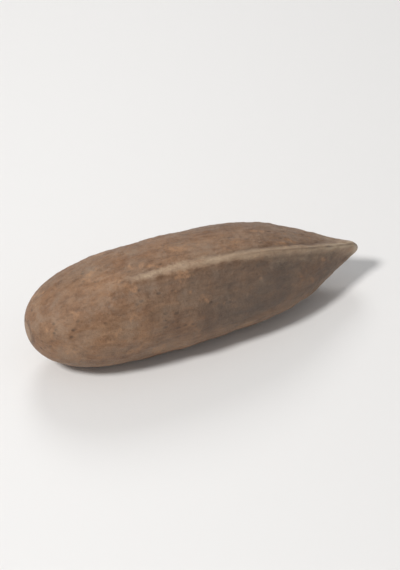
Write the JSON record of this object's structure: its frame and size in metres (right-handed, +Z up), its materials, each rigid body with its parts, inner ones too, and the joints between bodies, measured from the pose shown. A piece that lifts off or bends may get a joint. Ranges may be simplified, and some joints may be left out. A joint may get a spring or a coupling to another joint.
{
  "type": "pine nut in shell",
  "caption": "Long slim pine nut in its closed woody shell, round at one end and pointed at the other, with a seam ridge along each side, lying down.",
  "frame": {"origin": "middle of the underside, on the surface that the nut rests on", "axes": "+X along the nut from its round end to its tip, +Y away from the side whose seam is raised, +Z up"},
  "size_m": [0.0204, 0.0064, 0.0062],
  "materials": {
    "shell": "dry dusty brown woody shell with darker mottling and a pale tip"
  },
  "bodies": {
    "root": {"pine_nut": "shell"}
  },
  "joints": []
}
